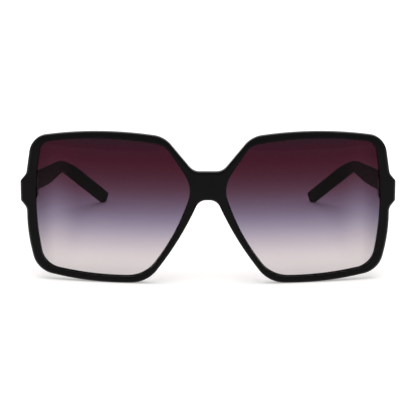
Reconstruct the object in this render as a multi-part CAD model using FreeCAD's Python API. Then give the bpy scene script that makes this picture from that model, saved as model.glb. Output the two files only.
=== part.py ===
import FreeCAD, Part
import math
import os

from FreeCAD import Vector

# Oversized square sunglasses, standing open on the rim bottoms and the temple tips.
# Millimetres; +Z up, the front looks along -Y, +X is the wearer's left.

# Front: curvature and thickness
FRONT_RADIUS = 260.0
FRONT_THICKNESS = 3.8
FRONT_EDGE_BREAK = 0.8
BACK_EDGE_BREAK = 0.5
OPENING_EDGE_BREAK = 0.35

# Lens opening: its five corners before rounding, and how far its sides bow out
LENS_GAP = 11.7
LENS_WIDTH = 60.4
LENS_HEIGHT = 53.4
NASAL_POINT_DOWN = 16.25
NASAL_POINT_ROUND = 12.5
LENS_TOP_NASAL_IN = 11.0
LENS_TOP_NASAL_ROUND = 7.0
LENS_TOP_BOW = 4.05
LENS_TOP_TEMPORAL_ROUND = 5.0
LENS_SIDE_BOW = 4.6
LENS_LOW_TEMPORAL_IN = 0.4
LENS_LOW_TEMPORAL_UP = 2.95
LENS_LOW_TEMPORAL_ROUND = 8.3
LENS_BOTTOM_BOW = 2.0
LENS_LOW_NASAL_IN = 19.65
LENS_LOW_NASAL_ROUND = 14.0
LENS_NASAL_BOW = 3.3

# Rim: corners of its outer outline, measured from the corners of the lens opening
RIM_TOP_NASAL_IN = 11.2
RIM_TOP_NASAL_OVER = 3.1
RIM_TOP_NASAL_ROUND = 10.7
RIM_TOP_BOW = 4.0
RIM_TOP_TEMPORAL_OUT = 4.0
RIM_TOP_TEMPORAL_OVER = 1.75
RIM_TOP_TEMPORAL_ROUND = 8.0
RIM_SIDE_BOW = 1.45
RIM_LOW_TEMPORAL_OUT = 2.9
RIM_LOW_TEMPORAL_UP = 0.7
RIM_LOW_TEMPORAL_ROUND = 9.4
RIM_BOTTOM_BOW = 2.65
RIM_LOW_NASAL_IN = 18.5
RIM_LOW_NASAL_UNDER = 2.5
RIM_LOW_NASAL_ROUND = 13.4
RIM_NASAL_BOW = 2.1

# Bridge between the rims
BRIDGE_TOP_HALF = 5.65
BRIDGE_TOP_DOWN = 10.45
BRIDGE_TOP_ROUND = 4.9
BRIDGE_DEPTH = 11.15
ARCH_HALF = 3.5
ARCH_ROUND = 4.3

# Endpiece: the lug beside the rim and the block that reaches back to the temple
HINGE_DOWN = 20.0
LUG_OUT = 8.75
LUG_HEIGHT = 8.0
LUG_CORNER = 0.4
LUG_ROOT_OUT = 6.3
LUG_ROOT_HEIGHT = 13.8
LUG_ROOT_ROUND = 4.0
ENDPIECE_REACH = 4.8
ENDPIECE_WIDTH = 6.4
ENDPIECE_SKIN = 1.6
ENDPIECE_ROUND = 0.8

# Lens and its V-shaped seat
LENS_THICKNESS = 2.0
BEVEL_DEPTH = 0.8
BEVEL_FLAT = 0.4
LENS_FIT = 0.05
SEAT_OVERRUN = 0.1

# Nose pads behind the nasal rims
PAD_LENGTH = 14.0
PAD_WIDTH = 1.6
PAD_DEPTH = 3.8
PAD_RAISE = 3.5
PAD_EDGE_GAP = 0.5
PAD_END_FLAT = 0.1
PAD_EDGE_BREAK = 0.5
PAD_SPLAY = 4.0

# Three-barrel hinge
BARREL_COUNT = 3
BARREL_RADIUS = 1.3
BARREL_HEIGHT = 2.05
BARREL_GAP = 0.08
BARREL_FREE = 0.15
SHANK_RADIUS = 0.6
SHANK_FREE = 0.03
SHANK_TAIL = 0.25
HEAD_RADIUS = 1.1
HEAD_HEIGHT = 0.7
HEAD_EDGE_BREAK = 0.25
HEAD_SLOT_WIDTH = 0.35
HEAD_SLOT_DEPTH = 0.35
TANG_THICKNESS = 1.1
TANG_DEPTH = 4.2
TANG_BARB = 0.25
TANG_BARB_COUNT = 2
TANG_BARB_PITCH = 1.4
LEAF_PLATE_THICKNESS = 1.1
LEAF_PLATE_LEAD = 0.6
LEAF_PLATE_LENGTH = 10.5
LEAF_PLATE_ROUND = 1.5
LEAF_RECESS = 0.5
LEAF_PIN_RADIUS = 0.6
LEAF_PIN_FREE = 0.1
LEAF_PIN_BACK = 6.2
LEAF_PIN_SPREAD = 3.6
INSERT_FIT = 0.02

# Temple: side view, then plan
TEMPLE_GAP = 0.1
TEMPLE_THICKNESS = 3.0
TEMPLE_EDGE_BREAK = 0.7
BELLY_BACK = 58.0
BELLY_DOWN = 10.8
BELLY_ROUND = 150.0
BEND_BACK = 97.1
BEND_DOWN = 12.7
BEND_DEPTH = 4.65
BEND_TOP_ROUND = 52.0
BEND_BOTTOM_ROUND = 32.0
DROP_ANGLE = 33.9
DROP_DEPTH = 5.5
TIP_TOP_ROUND = 1.3
TIP_BOTTOM_ROUND = 0.9
TOE_START = 13.0
TOE_ROUND = 90.0
BEND_INSET = 5.8
BEND_PLAN_ROUND = 30.0
DROP_TURN = 25.5

# Flat core wire shot into the temple
CORE_THICKNESS = 0.8
CORE_HEIGHT = 1.8
CORE_START = 1.5
CORE_END = 9.0
CORE_BEND_ROUND = 30.0
CORE_FIT = 0.02

# Two points closer than this count as one
NEAR = 0.001


def unit(vector):
    return Vector(vector).normalize()


def half_angle(points, i):
    """Half the angle between the two sides that meet at a corner."""
    back = points[i - 1] - points[i]
    ahead = points[(i + 1) % len(points)] - points[i]
    return back.getAngle(ahead) / 2


def reach(points, radii, i):
    """Distance from a corner to either end of its rounding."""
    return radii[i] / math.tan(half_angle(points, i))


def rounded_edges(points, radii, closed):
    """Lines joined by tangent arcs; a corner with no radius stays sharp."""
    edges = []
    starts = []
    ends = []
    count = len(points)
    for i, point in enumerate(points):
        if radii[i] == 0:
            starts.append(point)
            ends.append(point)
            continue
        back = unit(points[i - 1] - point)
        ahead = unit(points[(i + 1) % count] - point)
        centre = point + unit(back + ahead) * (radii[i] / math.sin(half_angle(points, i)))
        middle = centre + unit(point - centre) * radii[i]
        starts.append(point + back * reach(points, radii, i))
        ends.append(point + ahead * reach(points, radii, i))
        edges.append((i, Part.Arc(starts[i], middle, ends[i]).toShape()))
    for i in range(count if closed else count - 1):
        after = starts[(i + 1) % count]
        if ends[i].distanceToPoint(after) > NEAR:
            edges.append((i + 0.5, Part.LineSegment(ends[i], after).toShape()))
    return [edge for order, edge in sorted(edges, key=lambda item: item[0])]


def with_bows(corners):
    """Corners with their radius, and one more in the middle of each side that bows out.

    Each corner is given as across, up, radius and the bow of the side after it.
    A bow is rounded as far as the roundings at the ends of its side let it.
    """
    points = [Vector(x, 0, z) for x, z, radius, bow in corners]
    radii = [radius for x, z, radius, bow in corners]
    bowed_points = []
    bowed_radii = []
    for i, (x, z, radius, bow) in enumerate(corners):
        bowed_points.append(points[i])
        bowed_radii.append(radius)
        if bow == 0:
            continue
        after = (i + 1) % len(corners)
        ahead = unit(points[after] - points[i])
        start = points[i] + ahead * reach(points, radii, i)
        stop = points[after] - ahead * reach(points, radii, after)
        outward = Vector(-ahead.z, 0, ahead.x)
        bowed_points.append((start + stop) * 0.5 + outward * bow)
        bowed_radii.append(0)
    for i, point in enumerate(bowed_points):
        if bowed_radii[i] == 0:
            rooms = []
            for other in (i - 1, (i + 1) % len(bowed_points)):
                side = point.distanceToPoint(bowed_points[other])
                rooms.append(side - reach(bowed_points, bowed_radii, other))
            bowed_radii[i] = min(rooms) * math.tan(half_angle(bowed_points, i))
    return [(point.x, point.z, radius) for point, radius in zip(bowed_points, bowed_radii)]


def front_view_face(corners):
    """Face in the XZ plane from corners given as across, up and radius."""
    points = [Vector(x, 0, z) for x, z, radius in corners]
    radii = [radius for x, z, radius in corners]
    return Part.Face(Part.Wire(rounded_edges(points, radii, True)))


def grown(corners, amount):
    """Convex outline moved outward by an even amount."""
    result = []
    count = len(corners)
    for i, (x, z, radius) in enumerate(corners):
        here = Vector(x, 0, z)
        back = unit(Vector(corners[i - 1][0], 0, corners[i - 1][1]) - here)
        ahead = unit(Vector(corners[(i + 1) % count][0], 0, corners[(i + 1) % count][1]) - here)
        half = back.getAngle(ahead) / 2
        moved = here - unit(back + ahead) * (amount / math.sin(half))
        result.append((moved.x, moved.z, radius + amount))
    return result


def middle_of(edge):
    return edge.valueAt((edge.FirstParameter + edge.LastParameter) / 2)


def along(shape, direction):
    """Edges that run within about 25 degrees of a direction."""
    found = []
    for edge in shape.Edges:
        heading = edge.tangentAt((edge.FirstParameter + edge.LastParameter) / 2)
        if abs(heading.dot(direction)) > 0.9:
            found.append(edge)
    return found


def mirrored(shape):
    return shape.mirror(Vector(0, 0, 0), Vector(1, 0, 0))


# Positions that several pieces share, with z measured from the lens opening's low nasal corner
nasal_x = LENS_GAP / 2
temporal_x = nasal_x + LENS_WIDTH
half_width = temporal_x + LUG_OUT
hinge_z = LENS_HEIGHT - HINGE_DOWN
lug_top = hinge_z + LUG_HEIGHT / 2
lug_low = hinge_z - LUG_HEIGHT / 2
lug_round = FRONT_EDGE_BREAK + LUG_CORNER
lug_sag = FRONT_RADIUS - math.sqrt(FRONT_RADIUS ** 2 - half_width ** 2)
butt_y = lug_sag + FRONT_THICKNESS + ENDPIECE_REACH
temple_y = butt_y + TEMPLE_GAP
temple_inner_x = half_width - TEMPLE_THICKNESS
barrel_room = BARREL_RADIUS + BARREL_FREE
axis_x = temple_inner_x - barrel_room
axis_y = butt_y + barrel_room
barrel_pitch = BARREL_HEIGHT + BARREL_GAP
stack_height = BARREL_COUNT * barrel_pitch - BARREL_GAP
stack_low = hinge_z - stack_height / 2
stack_top = hinge_z + stack_height / 2
pin_length = (TEMPLE_THICKNESS - CORE_THICKNESS) / 2 - LEAF_RECESS - LEAF_PIN_FREE
rim_low_nasal = Vector(nasal_x + RIM_LOW_NASAL_IN, 0, -RIM_LOW_NASAL_UNDER)
arch = Vector(ARCH_HALF, 0, LENS_HEIGHT - BRIDGE_TOP_DOWN - BRIDGE_DEPTH)


def lens_corners():
    return with_bows([
        (nasal_x, LENS_HEIGHT - NASAL_POINT_DOWN, NASAL_POINT_ROUND, 0),
        (nasal_x + LENS_TOP_NASAL_IN, LENS_HEIGHT, LENS_TOP_NASAL_ROUND, LENS_TOP_BOW),
        (temporal_x, LENS_HEIGHT, LENS_TOP_TEMPORAL_ROUND, LENS_SIDE_BOW),
        (temporal_x - LENS_LOW_TEMPORAL_IN, LENS_LOW_TEMPORAL_UP, LENS_LOW_TEMPORAL_ROUND, LENS_BOTTOM_BOW),
        (nasal_x + LENS_LOW_NASAL_IN, 0, LENS_LOW_NASAL_ROUND, LENS_NASAL_BOW),
    ])


def front_corners():
    """Outer outline of the whole front, one half and then its mirror."""
    top_nasal_x = nasal_x + RIM_TOP_NASAL_IN
    top_temporal_x = temporal_x + RIM_TOP_TEMPORAL_OUT
    low_temporal_x = temporal_x + RIM_LOW_TEMPORAL_OUT
    root_x = temporal_x + LUG_ROOT_OUT
    half = [
        (BRIDGE_TOP_HALF, LENS_HEIGHT - BRIDGE_TOP_DOWN, BRIDGE_TOP_ROUND, 0),
        (top_nasal_x, LENS_HEIGHT + RIM_TOP_NASAL_OVER, RIM_TOP_NASAL_ROUND, RIM_TOP_BOW),
        (top_temporal_x, LENS_HEIGHT + RIM_TOP_TEMPORAL_OVER, RIM_TOP_TEMPORAL_ROUND, 0),
        (root_x, hinge_z + LUG_ROOT_HEIGHT / 2, LUG_ROOT_ROUND, 0),
        (half_width, lug_top, lug_round, 0),
        (half_width, lug_low, lug_round, 0),
        (root_x, hinge_z - LUG_ROOT_HEIGHT / 2, LUG_ROOT_ROUND, RIM_SIDE_BOW),
        (low_temporal_x, RIM_LOW_TEMPORAL_UP, RIM_LOW_TEMPORAL_ROUND, RIM_BOTTOM_BOW),
        (rim_low_nasal.x, rim_low_nasal.z, RIM_LOW_NASAL_ROUND, RIM_NASAL_BOW),
        (arch.x, arch.z, ARCH_ROUND, 0),
    ]
    other = []
    for i, (x, z, radius, bow) in enumerate(half):
        other.append((-x, z, radius, half[i - 1][3]))
    return with_bows(half + other[::-1])


front_face = front_view_face(front_corners())
floor_z = front_face.BoundBox.ZMin
front_mid_z = (floor_z + front_face.BoundBox.ZMax) / 2


def ball(depth):
    """Ball whose face lies the given depth behind the front's face."""
    return Part.makeSphere(FRONT_RADIUS - depth, Vector(0, FRONT_RADIUS, front_mid_z))


def shell(face, near, far):
    """Outline cut from the curved layer between two depths."""
    prism = face.extrude(Vector(0, FRONT_RADIUS, 0))
    return prism.common(ball(near)).cut(ball(far))


def edges_on(shape, depth):
    """Edges that lie wholly on the curved face at a depth."""
    centre = Vector(0, FRONT_RADIUS, front_mid_z)
    found = []
    for edge in shape.Edges:
        points = [vertex.Point for vertex in edge.Vertexes] + [middle_of(edge)]
        if all(abs((point - centre).Length - (FRONT_RADIUS - depth)) < NEAR for point in points):
            found.append(edge)
    return found


def bevelled_lens(room, overrun):
    """Curved lens with a V edge; a seat has room all round and a V that overruns into the opening."""
    face = front_view_face(grown(lens_corners(), BEVEL_DEPTH + room))
    half = LENS_THICKNESS / 2 + room + overrun
    near = FRONT_THICKNESS / 2 - half
    far = FRONT_THICKNESS / 2 + half
    blank = shell(face, near, far)
    slope = (LENS_THICKNESS - BEVEL_FLAT) / 2 + overrun
    return blank.makeChamfer(slope, BEVEL_DEPTH + overrun, edges_on(blank, near) + edges_on(blank, far))


def endpiece():
    """Block behind the lug that carries the front half of the hinge."""
    start = lug_sag + ENDPIECE_SKIN
    corner = Vector(half_width - ENDPIECE_WIDTH, start, lug_low)
    block = Part.makeBox(ENDPIECE_WIDTH, butt_y - start, LUG_HEIGHT, corner)
    block = block.makeFillet(ENDPIECE_ROUND, along(block, Vector(0, 1, 0)))
    return block.cut(tang(INSERT_FIT))


def front_frame():
    opening = front_view_face(lens_corners()).extrude(Vector(0, FRONT_RADIUS / 2, 0))
    openings = [opening, mirrored(opening)]

    def rim_edges(shape, depth, at_lens):
        found = []
        for edge in edges_on(shape, depth):
            on_lens = any(side.isInside(middle_of(edge), NEAR, True) for side in openings)
            if on_lens == at_lens:
                found.append(edge)
        return found

    plate = shell(front_face, 0, FRONT_THICKNESS).cut(openings)
    plate = plate.makeChamfer(FRONT_EDGE_BREAK, rim_edges(plate, 0, False))
    plate = plate.makeChamfer(BACK_EDGE_BREAK, rim_edges(plate, FRONT_THICKNESS, False))
    for depth in (0, FRONT_THICKNESS):
        plate = plate.makeChamfer(OPENING_EDGE_BREAK, rim_edges(plate, depth, True))
    seat = bevelled_lens(LENS_FIT, SEAT_OVERRUN)
    plate = plate.cut([seat, mirrored(seat)])
    block = endpiece()
    return plate.fuse([block, mirrored(block)]).removeSplitter()


def nose_pad():
    """Fin with round ends behind the nose edge of the rim, leaning away from the nose."""
    up = unit(arch - rim_low_nasal)
    inward = Vector(up.z, 0, -up.x)
    edge_middle = (arch + rim_low_nasal) * 0.5 - inward * (RIM_NASAL_BOW / 2)
    centre = edge_middle + up * PAD_RAISE + inward * (PAD_EDGE_GAP + PAD_WIDTH / 2)
    half_length = up * (PAD_LENGTH / 2)
    half_breadth = inward * (PAD_WIDTH / 2)
    points = [
        centre - half_length - half_breadth,
        centre + half_length - half_breadth,
        centre + half_length + half_breadth,
        centre - half_length + half_breadth,
    ]
    radii = [PAD_WIDTH / 2 - PAD_END_FLAT] * len(points)
    top_y = FRONT_THICKNESS + PAD_DEPTH
    fin = Part.Face(Part.Wire(rounded_edges(points, radii, True))).extrude(Vector(0, top_y, 0))
    rear_edges = [edge for edge in fin.Edges if edge.BoundBox.YMin > top_y - NEAR]
    fin = fin.makeChamfer(PAD_EDGE_BREAK, rear_edges)
    fin.rotate(centre + Vector(0, FRONT_THICKNESS, 0), up, PAD_SPLAY)
    return fin.common(ball(FRONT_THICKNESS))


def barrel(place):
    """One of the stacked barrels, counted from the bottom."""
    base = Vector(axis_x, axis_y, stack_low + place * barrel_pitch)
    return Part.makeCylinder(BARREL_RADIUS, BARREL_HEIGHT, base)


def barrel_slot(place):
    """Room for a barrel of the other leaf."""
    base = Vector(axis_x, axis_y, stack_low + place * barrel_pitch - BARREL_GAP)
    return Part.makeCylinder(barrel_room, BARREL_HEIGHT + 2 * BARREL_GAP, base)


def tang(room):
    """Barbed plate that is sunk into the endpiece; room is added all round."""
    half = TANG_THICKNESS / 2 + room
    tip_y = butt_y - TANG_DEPTH
    side = [(half, axis_y)]
    for count in range(TANG_BARB_COUNT, 0, -1):
        catch_y = tip_y + count * TANG_BARB_PITCH + room
        side += [(half, catch_y), (half + TANG_BARB, catch_y)]
    side.append((half, tip_y - room))
    loop = side + [(-x, y) for x, y in reversed(side)]
    low = stack_low - room
    points = [Vector(axis_x + x, y, low) for x, y in loop]
    face = Part.Face(Part.makePolygon(points + points[:1]))
    return face.extrude(Vector(0, 0, stack_height + 2 * room))


def round_bar(radius, low, high):
    """Cylinder on the hinge axis between two heights."""
    return Part.makeCylinder(radius, high - low, Vector(axis_x, axis_y, low))


def hinge_front_leaf():
    own = range(0, BARREL_COUNT, 2)
    other = range(1, BARREL_COUNT, 2)
    leaf = tang(0).cut([barrel_slot(place) for place in other])
    leaf = leaf.fuse([barrel(place) for place in own]).removeSplitter()
    thread_top = stack_low + BARREL_HEIGHT
    leaf = leaf.cut(round_bar(SHANK_RADIUS, stack_low, thread_top))
    return leaf.cut(round_bar(SHANK_RADIUS + SHANK_FREE, thread_top, stack_top))


def leaf_plate(room):
    """Plate let into the temple's inner face, with its two pins."""
    outer_x = temple_inner_x + LEAF_RECESS + room
    inner_x = temple_inner_x + LEAF_RECESS - LEAF_PLATE_THICKNESS - room
    corner = Vector(inner_x, axis_y - LEAF_PLATE_LEAD - room, stack_low - room)
    span = LEAF_PLATE_LEAD + LEAF_PLATE_LENGTH + 2 * room
    plate = Part.makeBox(outer_x - inner_x, span, stack_height + 2 * room, corner)
    back_y = corner.y + span
    back_edges = [edge for edge in along(plate, Vector(1, 0, 0)) if edge.BoundBox.YMin > back_y - NEAR]
    plate = plate.makeFillet(LEAF_PLATE_ROUND, back_edges)
    pins = []
    for side in (-1, 1):
        base = Vector(inner_x, axis_y + LEAF_PIN_BACK, hinge_z + side * LEAF_PIN_SPREAD / 2)
        length = outer_x - inner_x + pin_length
        pins.append(Part.makeCylinder(LEAF_PIN_RADIUS + room, length, base, Vector(1, 0, 0)))
    return plate.fuse(pins).removeSplitter()


def hinge_temple_leaf():
    own = range(1, BARREL_COUNT, 2)
    other = range(0, BARREL_COUNT, 2)
    leaf = leaf_plate(0).cut([barrel_slot(place) for place in other])
    leaf = leaf.fuse([barrel(place) for place in own]).removeSplitter()
    return leaf.cut(round_bar(SHANK_RADIUS + SHANK_FREE, stack_low, stack_top))


def hinge_screw():
    shank = round_bar(SHANK_RADIUS, stack_low - SHANK_TAIL, stack_top)
    head = Part.makeCylinder(HEAD_RADIUS, HEAD_HEIGHT, Vector(axis_x, axis_y, stack_top))
    head_top = stack_top + HEAD_HEIGHT
    top_edges = [edge for edge in head.Edges if edge.BoundBox.ZMin > head_top - NEAR]
    head = head.makeChamfer(HEAD_EDGE_BREAK, top_edges)
    slot_corner = Vector(axis_x - HEAD_SLOT_WIDTH / 2, axis_y - HEAD_RADIUS, head_top - HEAD_SLOT_DEPTH)
    slot = Part.makeBox(HEAD_SLOT_WIDTH, 2 * HEAD_RADIUS, HEAD_SLOT_DEPTH, slot_corner)
    return shank.fuse(head).removeSplitter().cut(slot)


def crossing(point, slope, other_point, other_slope):
    """Side-view crossing of two lines given by a point and a slope."""
    y = (other_point.z - point.z + slope * point.y - other_slope * other_point.y) / (slope - other_slope)
    return Vector(0, y, point.z + slope * (y - point.y))


def temple_profile():
    """Side view: front top, top of the bend, tip, bottom of the bend, belly, front bottom."""
    angle = math.radians(DROP_ANGLE)
    fall = math.tan(angle)
    front_top = Vector(0, temple_y, lug_top)
    front_low = Vector(0, temple_y, lug_low)
    belly = Vector(0, temple_y + BELLY_BACK, hinge_z - BELLY_DOWN)
    bend_low = Vector(0, temple_y + BEND_BACK, hinge_z - BEND_DOWN)
    tip_z = floor_z + TIP_BOTTOM_ROUND * (1 - math.cos(angle) - math.sin(angle))
    tip_low = Vector(0, bend_low.y + (bend_low.z - tip_z) / fall, tip_z)
    tip_top = tip_low + Vector(0, math.sin(angle), math.cos(angle)) * DROP_DEPTH
    over_bend = bend_low + Vector(0, 0, BEND_DEPTH)
    top_slope = (over_bend.z - front_top.z) / (over_bend.y - front_top.y)
    bend_top = crossing(front_top, top_slope, tip_top, -fall)
    return [front_top, bend_top, tip_top, tip_low, bend_low, belly, front_low]


profile = temple_profile()
bend_mid = (profile[1] + profile[4]) * 0.5
tip_mid = (profile[2] + profile[3]) * 0.5


def temple_plan(offset):
    """Plan of the inner face moved outward: hinge end, toe-in, bend, beyond the tip."""
    toe = math.atan(BEND_INSET / (bend_mid.y - temple_y - TOE_START))
    turn = math.radians(DROP_TURN)
    front = Vector(temple_inner_x + offset, temple_y, 0)
    toe_point = front + Vector(0, TOE_START + offset * math.tan(toe / 2), 0)
    bend_in = Vector(temple_inner_x - BEND_INSET, bend_mid.y, 0)
    half_turn = (toe + turn) / 2
    miter = offset / math.cos((turn - toe) / 2)
    bend_point = bend_in + Vector(math.cos(half_turn), math.sin(half_turn), 0) * miter
    end_length = 2 * (tip_mid.y - bend_mid.y)
    end_point = bend_point + Vector(-math.sin(turn), math.cos(turn), 0) * end_length
    return [front, toe_point, bend_point, end_point]


def core_wire(room, start):
    """Flat wire along the middle of the temple, from start behind its front end; room is added all round."""
    middle = temple_plan(TEMPLE_THICKNESS / 2)
    angle = math.radians(DROP_ANGLE)
    turn = math.radians(DROP_TURN)
    slope = (bend_mid.z - hinge_z) / (bend_mid.y - temple_y)
    first = Vector(middle[0].x, temple_y + start, hinge_z + slope * start)
    toe_point = Vector(middle[1].x, middle[1].y, hinge_z + slope * (middle[1].y - temple_y))
    bend_point = Vector(middle[2].x, bend_mid.y, bend_mid.z)
    run = tip_mid.y - bend_mid.y - CORE_END + room
    last = bend_point + Vector(-math.tan(turn), 1, -math.tan(angle)) * run
    stops = [first, toe_point, bend_point, last]
    path = Part.Wire(rounded_edges(stops, [0, TOE_ROUND, CORE_BEND_ROUND, 0], False))
    across = Vector(CORE_THICKNESS / 2 + room, 0, 0)
    tall = Vector(0, 0, CORE_HEIGHT / 2 + room)
    corners = [first - across - tall, first + across - tall, first + across + tall, first - across + tall]
    section = Part.makePolygon(corners + corners[:1])
    return path.makePipeShell([section], True, False)


def temple():
    radii = [0, BEND_TOP_ROUND, TIP_TOP_ROUND, TIP_BOTTOM_ROUND, BEND_BOTTOM_ROUND, BELLY_ROUND, 0]
    side = Part.Face(Part.Wire(rounded_edges(profile, radii, True)))
    slab = side.extrude(Vector(2 * half_width, 0, 0))
    inner = temple_plan(0)
    outer = temple_plan(TEMPLE_THICKNESS)
    inner_radii = [0, TOE_ROUND, BEND_PLAN_ROUND, 0]
    outer_radii = [0, TOE_ROUND + TEMPLE_THICKNESS, BEND_PLAN_ROUND + TEMPLE_THICKNESS, 0]
    strip = Part.Face(Part.Wire(rounded_edges(inner + outer[::-1], inner_radii + outer_radii[::-1], True)))
    strip.translate(Vector(0, 0, floor_z - DROP_DEPTH))
    bar = slab.common(strip.extrude(Vector(0, 0, 2 * LENS_HEIGHT)))
    seams = along(bar, Vector(1, 0, 0)) + along(bar, Vector(0, 0, 1))
    seam_codes = [edge.hashCode() for edge in seams]
    soft = [edge for edge in bar.Edges if edge.hashCode() not in seam_codes]
    bar = bar.makeChamfer(TEMPLE_EDGE_BREAK, soft)
    return bar.cut([leaf_plate(INSERT_FIT), core_wire(CORE_FIT, 0)])


left_pieces = {
    "lens": bevelled_lens(0, 0),
    "nose_pad": nose_pad(),
    "hinge_front_leaf": hinge_front_leaf(),
    "hinge_temple_leaf": hinge_temple_leaf(),
    "hinge_screw": hinge_screw(),
    "temple": temple(),
    "temple_core": core_wire(0, CORE_START),
}
nodes = {"front_frame": front_frame()}
for name, shape in left_pieces.items():
    nodes[name + "_left"] = shape
    nodes[name + "_right"] = mirrored(shape)

# Stand the part on the floor with its origin under the middle of its box
front_box = nodes["front_frame"].optimalBoundingBox(False)
temple_box = nodes["temple_left"].optimalBoundingBox(False)
to_origin = Vector(0, -(front_box.YMin + temple_box.YMax) / 2, -floor_z)

os.makedirs("parts", exist_ok=True)
for name, shape in nodes.items():
    solid = shape.Solids[0]
    solid.translate(to_origin)
    solid.exportStep("parts/" + name + ".step")
    print(name, solid.isValid(), len(shape.Solids), round(solid.Volume, 2), solid.optimalBoundingBox(False))
print("hinge axis", Vector(axis_x, axis_y, hinge_z) + to_origin, "shift", to_origin)
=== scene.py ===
import math

import bpy
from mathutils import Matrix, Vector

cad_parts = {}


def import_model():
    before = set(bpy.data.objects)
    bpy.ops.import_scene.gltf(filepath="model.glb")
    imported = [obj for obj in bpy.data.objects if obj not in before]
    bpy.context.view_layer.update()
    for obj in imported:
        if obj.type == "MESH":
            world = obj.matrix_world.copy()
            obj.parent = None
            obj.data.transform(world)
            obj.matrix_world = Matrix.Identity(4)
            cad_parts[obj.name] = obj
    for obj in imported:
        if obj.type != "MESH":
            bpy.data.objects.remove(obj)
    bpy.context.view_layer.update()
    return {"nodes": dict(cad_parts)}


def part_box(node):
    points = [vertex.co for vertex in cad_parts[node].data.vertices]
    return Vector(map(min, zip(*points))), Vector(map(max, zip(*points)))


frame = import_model()

# Camera: place in metres, tilt below the horizon in degrees, lens and sensor in millimetres
CAMERA_PLACE = (0.0, -0.67758, 0.16862)
CAMERA_TILT = 12.843
CAMERA_LENS = 135.29
CAMERA_SENSOR = 36.0

# Floor: half its side in metres, and the light it adds for the camera, mirrors and clear pieces
FLOOR_HALF = 6.0
FLOOR_COLOUR = (0.893, 0.864, 0.841, 1.0)
FLOOR_ROUGHNESS = 0.9
FLOOR_LIFT = 0.33

# Surroundings: their colour, the light they give the object and their brightness in mirrors
BACKGROUND = (1.0, 1.0, 1.0, 1.0)
WORLD_LIGHT = 0.57
MIRRORED_WORLD = 0.7

# Key light: it shines from this place in metres towards the origin, with a spread in degrees
KEY_PLACE = (0.0, -0.2, 1.2)
KEY_SPREAD = 50.0
KEY_POWER = 1.6

# Black plastic: tones as noise share and colour, noises as scale and detail, lengths in metres
PLASTIC_TONES = [(0.35, (0.0010, 0.0008, 0.0009)), (0.7, (0.0026, 0.0020, 0.0022))]
CLOUD_NOISE = (90.0, 3.0)
HAZE_NOISE = (240.0, 4.0)
RIPPLE_NOISE = (160.0, 2.0)
RIPPLE_STRENGTH = 0.05
RIPPLE_DEPTH = 0.0002
SOFT_EDGE_RADIUS = 0.0006
PLASTIC_IOR = 1.49

# Roughness of each finish, from its clearest to its haziest spots, and gloss of each piece
POLISHED = (0.13, 0.24)
SATIN = (0.30, 0.42)
RIM_GLOSS = 0.085
TEMPLE_GLOSS = 0.05
PAD_GLOSS = 0.15

# Lens tint from the bottom of the lens to its top, as height share and colour
LENS_TINT = [
    (0.06, (0.652, 0.618, 0.622)),
    (0.20, (0.550, 0.491, 0.518)),
    (0.35, (0.261, 0.232, 0.320)),
    (0.48, (0.128, 0.0925, 0.155)),
    (0.63, (0.0635, 0.0218, 0.0375)),
    (0.80, (0.0385, 0.0036, 0.0122)),
    (0.90, (0.0350, 0.0047, 0.0130)),
    (0.97, (0.0202, 0.0080, 0.0129)),
]
LENS_ROUGHNESS = 0.02
LENS_IOR = 1.15

# Painted light: upright oval of each lens in which the tint sits higher, so the lens reads
# lighter there as if more light came through; in metres, its depth plays no part
PAINTED_LIGHT_CENTRE = (0.060, 0.0, 0.037)
PAINTED_LIGHT_HALF_SIZE = (0.0095, 1.0, 0.040)
PAINTED_LIGHT_LIFT = 0.0026

# Painted shade: outer strip of each lens that darkens towards the rim, in metres from the middle
# of the front
PAINTED_SHADE_START = 0.0616
PAINTED_SHADE_END = 0.070
PAINTED_SHADE_FACTOR = 0.70

# Metals: tones as noise share and colour, roughness range and grain along x, y and z
PLATED_TONES = [(0.3, (0.10, 0.10, 0.105)), (0.7, (0.16, 0.16, 0.165))]
PLATED_ROUGHNESS = (0.25, 0.4)
PLATED_GRAIN = (900.0, 900.0, 120.0)
SCREW_TONES = [(0.3, (0.2, 0.2, 0.21)), (0.7, (0.3, 0.3, 0.31))]
SCREW_ROUGHNESS = (0.2, 0.35)
SCREW_GRAIN = (900.0, 900.0, 900.0)
CORE_TONES = [(0.3, (0.45, 0.45, 0.46)), (0.7, (0.58, 0.58, 0.59))]
CORE_ROUGHNESS = (0.25, 0.4)
CORE_GRAIN = (900.0, 60.0, 900.0)
GRAIN_DETAIL = 4.0

# Range of a share, a noise or a ray type
WHOLE = (0.0, 1.0)


def new_material(name):
    """A node material, with its tree and its shader."""
    material = bpy.data.materials.new(name)
    material.use_nodes = True
    tree = material.node_tree
    return material, tree, tree.nodes["Principled BSDF"]


def object_place(tree):
    """Coordinates of the frame, in metres, because each piece sits at its origin."""
    return tree.nodes.new("ShaderNodeTexCoord").outputs["Object"]


def noise(tree, place, scale, detail):
    texture = tree.nodes.new("ShaderNodeTexNoise")
    texture.inputs["Scale"].default_value = scale
    texture.inputs["Detail"].default_value = detail
    tree.links.new(place, texture.inputs["Vector"])
    return texture.outputs["Fac"]


def calculate(tree, operation, *values):
    """Result of a Math node that takes outputs of other nodes or plain numbers."""
    step = tree.nodes.new("ShaderNodeMath")
    step.operation = operation
    for socket, value in zip(step.inputs, values):
        if isinstance(value, bpy.types.NodeSocket):
            tree.links.new(value, socket)
        else:
            socket.default_value = value
    return step.outputs["Value"]


def remap(tree, value, source, target, blend="LINEAR"):
    """A value taken from one range to another and held at both ends."""
    mapping = tree.nodes.new("ShaderNodeMapRange")
    mapping.interpolation_type = blend
    for name, limit in zip(("From Min", "From Max", "To Min", "To Max"), (*source, *target)):
        mapping.inputs[name].default_value = limit
    tree.links.new(value, mapping.inputs["Value"])
    return mapping.outputs["Result"]


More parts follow.
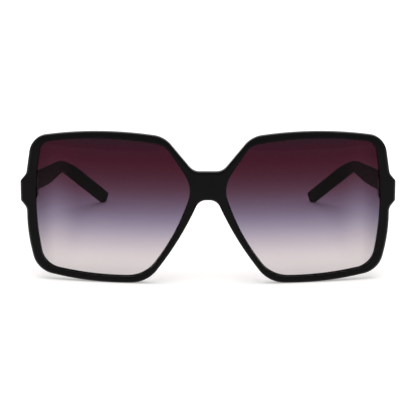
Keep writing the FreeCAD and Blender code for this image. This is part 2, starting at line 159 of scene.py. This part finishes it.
def blend_colours(tree, value, colours):
    """Colours at given places along a 0 to 1 value, in one smooth curve."""
    ramp = tree.nodes.new("ShaderNodeValToRGB")
    ramp.color_ramp.interpolation = "B_SPLINE"
    stops = ramp.color_ramp.elements
    while len(stops) < len(colours):
        stops.new(0.5)
    for stop, (place, colour) in zip(stops, colours):
        stop.position = place
        stop.color = (*colour, 1.0)
    tree.links.new(value, ramp.inputs["Fac"])
    return ramp.outputs["Color"]


def black_plastic(name, roughness, gloss):
    """Tumbled plastic with clouded tone, soft edges, faint ripple and a little haze."""
    material, tree, shader = new_material(name)
    place = object_place(tree)
    tone = blend_colours(tree, noise(tree, place, *CLOUD_NOISE), PLASTIC_TONES)
    tree.links.new(tone, shader.inputs["Base Color"])
    haze = remap(tree, noise(tree, place, *HAZE_NOISE), WHOLE, roughness)
    tree.links.new(haze, shader.inputs["Roughness"])
    soft_edge = tree.nodes.new("ShaderNodeBevel")
    soft_edge.inputs["Radius"].default_value = SOFT_EDGE_RADIUS
    ripple = tree.nodes.new("ShaderNodeBump")
    ripple.inputs["Strength"].default_value = RIPPLE_STRENGTH
    ripple.inputs["Distance"].default_value = RIPPLE_DEPTH
    tree.links.new(noise(tree, place, *RIPPLE_NOISE), ripple.inputs["Height"])
    tree.links.new(soft_edge.outputs["Normal"], ripple.inputs["Normal"])
    tree.links.new(ripple.outputs["Normal"], shader.inputs["Normal"])
    shader.inputs["IOR"].default_value = PLASTIC_IOR
    shader.inputs["Specular IOR Level"].default_value = gloss
    return material


def lens_place(tree):
    """Distance from the middle of the front, the same for both lenses, and height."""
    axes = tree.nodes.new("ShaderNodeSeparateXYZ")
    tree.links.new(object_place(tree), axes.inputs["Vector"])
    return calculate(tree, "ABSOLUTE", axes.outputs["X"]), axes.outputs["Z"]


def painted_light_lift(tree, across, height):
    """How far the tint is raised for the painted light, most in the middle of the oval."""
    point = tree.nodes.new("ShaderNodeCombineXYZ")
    tree.links.new(across, point.inputs["X"])
    tree.links.new(height, point.inputs["Z"])
    oval = tree.nodes.new("ShaderNodeMapping")
    oval.vector_type = "TEXTURE"
    oval.inputs["Location"].default_value = PAINTED_LIGHT_CENTRE
    oval.inputs["Scale"].default_value = PAINTED_LIGHT_HALF_SIZE
    tree.links.new(point.outputs["Vector"], oval.inputs["Vector"])
    away = tree.nodes.new("ShaderNodeVectorMath")
    away.operation = "LENGTH"
    tree.links.new(oval.outputs["Vector"], away.inputs[0])
    return remap(tree, away.outputs["Value"], WHOLE, (PAINTED_LIGHT_LIFT, 0.0), "SMOOTHSTEP")


def lens_tint_with_painted_light(tree, low, high):
    """Colour by height between the lens's lowest and highest point, with painted light in the
    oval and painted shade darkening the outer strip.
    """
    across, height = lens_place(tree)
    # Painted light: inside the oval the tint is raised, so the lens is lighter there.
    level = calculate(tree, "SUBTRACT", height, painted_light_lift(tree, across, height))
    colour = blend_colours(tree, remap(tree, level, (low, high), WHOLE), LENS_TINT)
    # Painted shade: the lens darkens across its outer strip towards the rim.
    painted_shade = remap(tree, across, (PAINTED_SHADE_START, PAINTED_SHADE_END), (1.0, PAINTED_SHADE_FACTOR))
    tint_with_painted_light = tree.nodes.new("ShaderNodeVectorMath")
    tint_with_painted_light.operation = "SCALE"
    tree.links.new(colour, tint_with_painted_light.inputs[0])
    tree.links.new(painted_shade, tint_with_painted_light.inputs["Scale"])
    return tint_with_painted_light.outputs["Vector"]


def gradient_lens(name, low, high):
    """Clear plastic tinted from dark plum at the top to nearly clear, with painted light and
    shade in its tint and a tinted shadow.
    """
    material, tree, shader = new_material(name)
    tint_with_painted_light = lens_tint_with_painted_light(tree, low, high)
    tree.links.new(tint_with_painted_light, shader.inputs["Base Color"])
    shader.inputs["Transmission Weight"].default_value = 1.0
    shader.inputs["Roughness"].default_value = LENS_ROUGHNESS
    shader.inputs["IOR"].default_value = LENS_IOR
    clear = tree.nodes.new("ShaderNodeBsdfTransparent")
    tree.links.new(tint_with_painted_light, clear.inputs["Color"])
    rays = tree.nodes.new("ShaderNodeLightPath")
    mix = tree.nodes.new("ShaderNodeMixShader")
    tree.links.new(rays.outputs["Is Shadow Ray"], mix.inputs["Fac"])
    tree.links.new(shader.outputs["BSDF"], mix.inputs[1])
    tree.links.new(clear.outputs["BSDF"], mix.inputs[2])
    tree.links.new(mix.outputs["Shader"], tree.nodes["Material Output"].inputs["Surface"])
    return material


def metal(name, tones, roughness, grain):
    """Metal with fine streaks of tone and roughness along its grain."""
    material, tree, shader = new_material(name)
    stretch = tree.nodes.new("ShaderNodeMapping")
    stretch.inputs["Scale"].default_value = grain
    tree.links.new(object_place(tree), stretch.inputs["Vector"])
    streaks = noise(tree, stretch.outputs["Vector"], 1.0, GRAIN_DETAIL)
    tree.links.new(blend_colours(tree, streaks, tones), shader.inputs["Base Color"])
    tree.links.new(remap(tree, streaks, WHOLE, roughness), shader.inputs["Roughness"])
    shader.inputs["Metallic"].default_value = 1.0
    return material


def background_rays(tree):
    """1 for rays from the camera, a mirror or a clear piece, 0 for the light on the object."""
    rays = tree.nodes.new("ShaderNodeLightPath").outputs
    seen = calculate(tree, "MAXIMUM", rays["Is Camera Ray"], rays["Is Glossy Ray"])
    return calculate(tree, "MAXIMUM", seen, rays["Is Transmission Ray"])


def floor():
    """Pale floor that keeps the object's shadow."""
    material, tree, shader = new_material("pale_floor")
    shader.inputs["Base Color"].default_value = FLOOR_COLOUR
    shader.inputs["Roughness"].default_value = FLOOR_ROUGHNESS
    shader.inputs["Specular IOR Level"].default_value = 0.0
    shader.inputs["Emission Color"].default_value = BACKGROUND
    lift = calculate(tree, "MULTIPLY", background_rays(tree), FLOOR_LIFT)
    tree.links.new(lift, shader.inputs["Emission Strength"])
    corners = [(-1, -1), (1, -1), (1, 1), (-1, 1)]
    points = [(x * FLOOR_HALF, y * FLOOR_HALF, 0.0) for x, y in corners]
    mesh = bpy.data.meshes.new("floor")
    mesh.from_pydata(points, [], [(0, 1, 2, 3)])
    mesh.materials.append(material)
    plane = bpy.data.objects.new("floor", mesh)
    bpy.context.scene.collection.objects.link(plane)


def world():
    """Even light on the object, white to the camera and dimmer in mirrors."""
    setting = bpy.data.worlds.new("studio")
    setting.use_nodes = True
    bpy.context.scene.world = setting
    tree = setting.node_tree
    shader = tree.nodes["Background"]
    shader.inputs["Color"].default_value = BACKGROUND
    strength = remap(tree, background_rays(tree), WHOLE, (WORLD_LIGHT, 1.0))
    mirrors = tree.nodes.new("ShaderNodeLightPath").outputs["Is Glossy Ray"]
    dimming = remap(tree, mirrors, WHOLE, (1.0, MIRRORED_WORLD))
    total = calculate(tree, "MULTIPLY", strength, dimming)
    tree.links.new(total, shader.inputs["Strength"])


def key_light():
    """Wide soft light from above and a little in front, even over the whole floor."""
    data = bpy.data.lights.new("key_light", "SUN")
    data.angle = math.radians(KEY_SPREAD)
    data.energy = KEY_POWER
    light = bpy.data.objects.new("key_light", data)
    light.location = KEY_PLACE
    aim = -light.location
    light.rotation_euler = aim.to_track_quat("-Z", "Y").to_euler()
    light.visible_glossy = False
    bpy.context.scene.collection.objects.link(light)


def camera():
    """Camera in front and above, looking along +Y and down."""
    data = bpy.data.cameras.new("camera")
    data.lens = CAMERA_LENS
    data.sensor_width = CAMERA_SENSOR
    data.dof.use_dof = False
    view = bpy.data.objects.new("camera", data)
    view.location = CAMERA_PLACE
    view.rotation_euler = (math.radians(90.0 - CAMERA_TILT), 0.0, 0.0)
    bpy.context.scene.collection.objects.link(view)
    bpy.context.scene.camera = view


def dress(nodes, material):
    """One material on each of the named nodes."""
    for name in nodes:
        mesh = frame["nodes"][name].data
        mesh.materials.clear()
        mesh.materials.append(material)


def both(*names):
    """Names of the left and right pieces."""
    return [name + side for name in names for side in ("_left", "_right")]


lens_low, lens_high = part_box("lens_left")
dress(["front_frame"], black_plastic("rim_plastic", POLISHED, RIM_GLOSS))
dress(both("temple"), black_plastic("temple_plastic", SATIN, TEMPLE_GLOSS))
dress(both("nose_pad"), black_plastic("pad_plastic", POLISHED, PAD_GLOSS))
dress(both("lens"), gradient_lens("lens_plastic", lens_low.z, lens_high.z))
plated = metal("plated_metal", PLATED_TONES, PLATED_ROUGHNESS, PLATED_GRAIN)
dress(both("hinge_front_leaf", "hinge_temple_leaf"), plated)
dress(both("hinge_screw"), metal("screw_metal", SCREW_TONES, SCREW_ROUGHNESS, SCREW_GRAIN))
dress(both("temple_core"), metal("core_metal", CORE_TONES, CORE_ROUGHNESS, CORE_GRAIN))

floor()
world()
key_light()
camera()
bpy.context.scene.view_settings.view_transform = "Standard"
